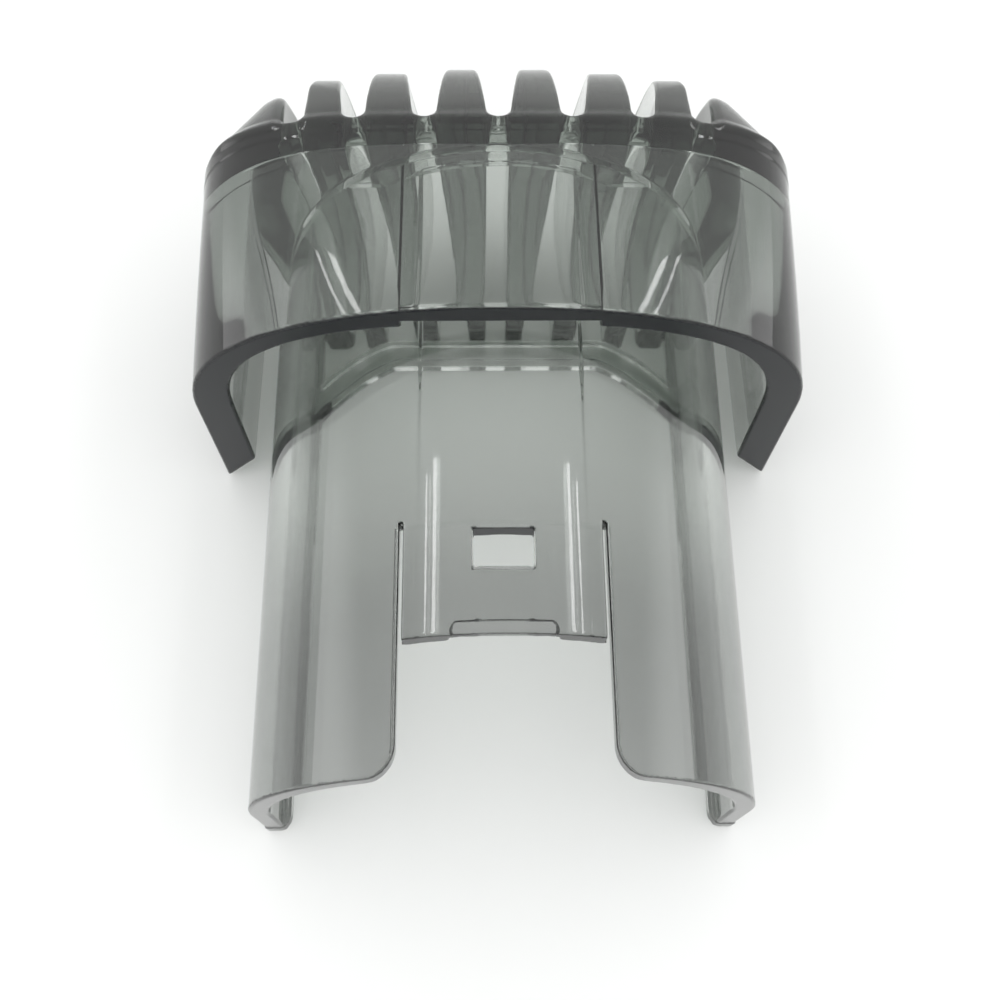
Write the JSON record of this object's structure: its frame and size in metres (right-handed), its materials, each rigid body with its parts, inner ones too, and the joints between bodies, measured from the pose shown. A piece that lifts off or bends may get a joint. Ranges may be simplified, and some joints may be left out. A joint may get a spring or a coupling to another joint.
{
  "type": "hair clipper guide comb",
  "caption": "Smoked see-through clip-on guide comb for a hair clipper: arched sleeve, flared hood, fanned teeth and a springy latch tongue.",
  "frame": {"origin": "middle of the comb's length and width, on the surface that its open back rests on", "axes": "+X to the comb's right, +Y from the feet to the teeth, +Z from the open back to the front"},
  "size_m": [0.0578, 0.071, 0.0342],
  "materials": {
    "smoked_plastic": "polished see-through polycarbonate, smoked neutral grey"
  },
  "bodies": {
    "comb": {"sleeve_crown": "smoked_plastic", "sleeve_wall_right": "smoked_plastic", "sleeve_wall_left": "smoked_plastic", "guide_lip_right": "smoked_plastic", "guide_lip_left": "smoked_plastic", "hood_crown": "smoked_plastic", "hood_side_right": "smoked_plastic", "hood_side_left": "smoked_plastic", "base_arch": "smoked_plastic", "cross_bar": "smoked_plastic", "tooth_1": "smoked_plastic", "tooth_2": "smoked_plastic", "tooth_3": "smoked_plastic", "tooth_4": "smoked_plastic", "tooth_5": "smoked_plastic", "tooth_6": "smoked_plastic", "tooth_7": "smoked_plastic", "tooth_8": "smoked_plastic"},
    "tongue": {"latch_tongue": "smoked_plastic"}
  },
  "joints": [
    {"name": "tongue_flex", "type": "hinge", "parent": "comb", "child": "tongue", "pos_m": [0, -0.0153, 0.03], "axis": [-1, 0, 0], "range_deg": [-2, 8], "stiffness_Nm_per_rad": 1.5}
  ]
}
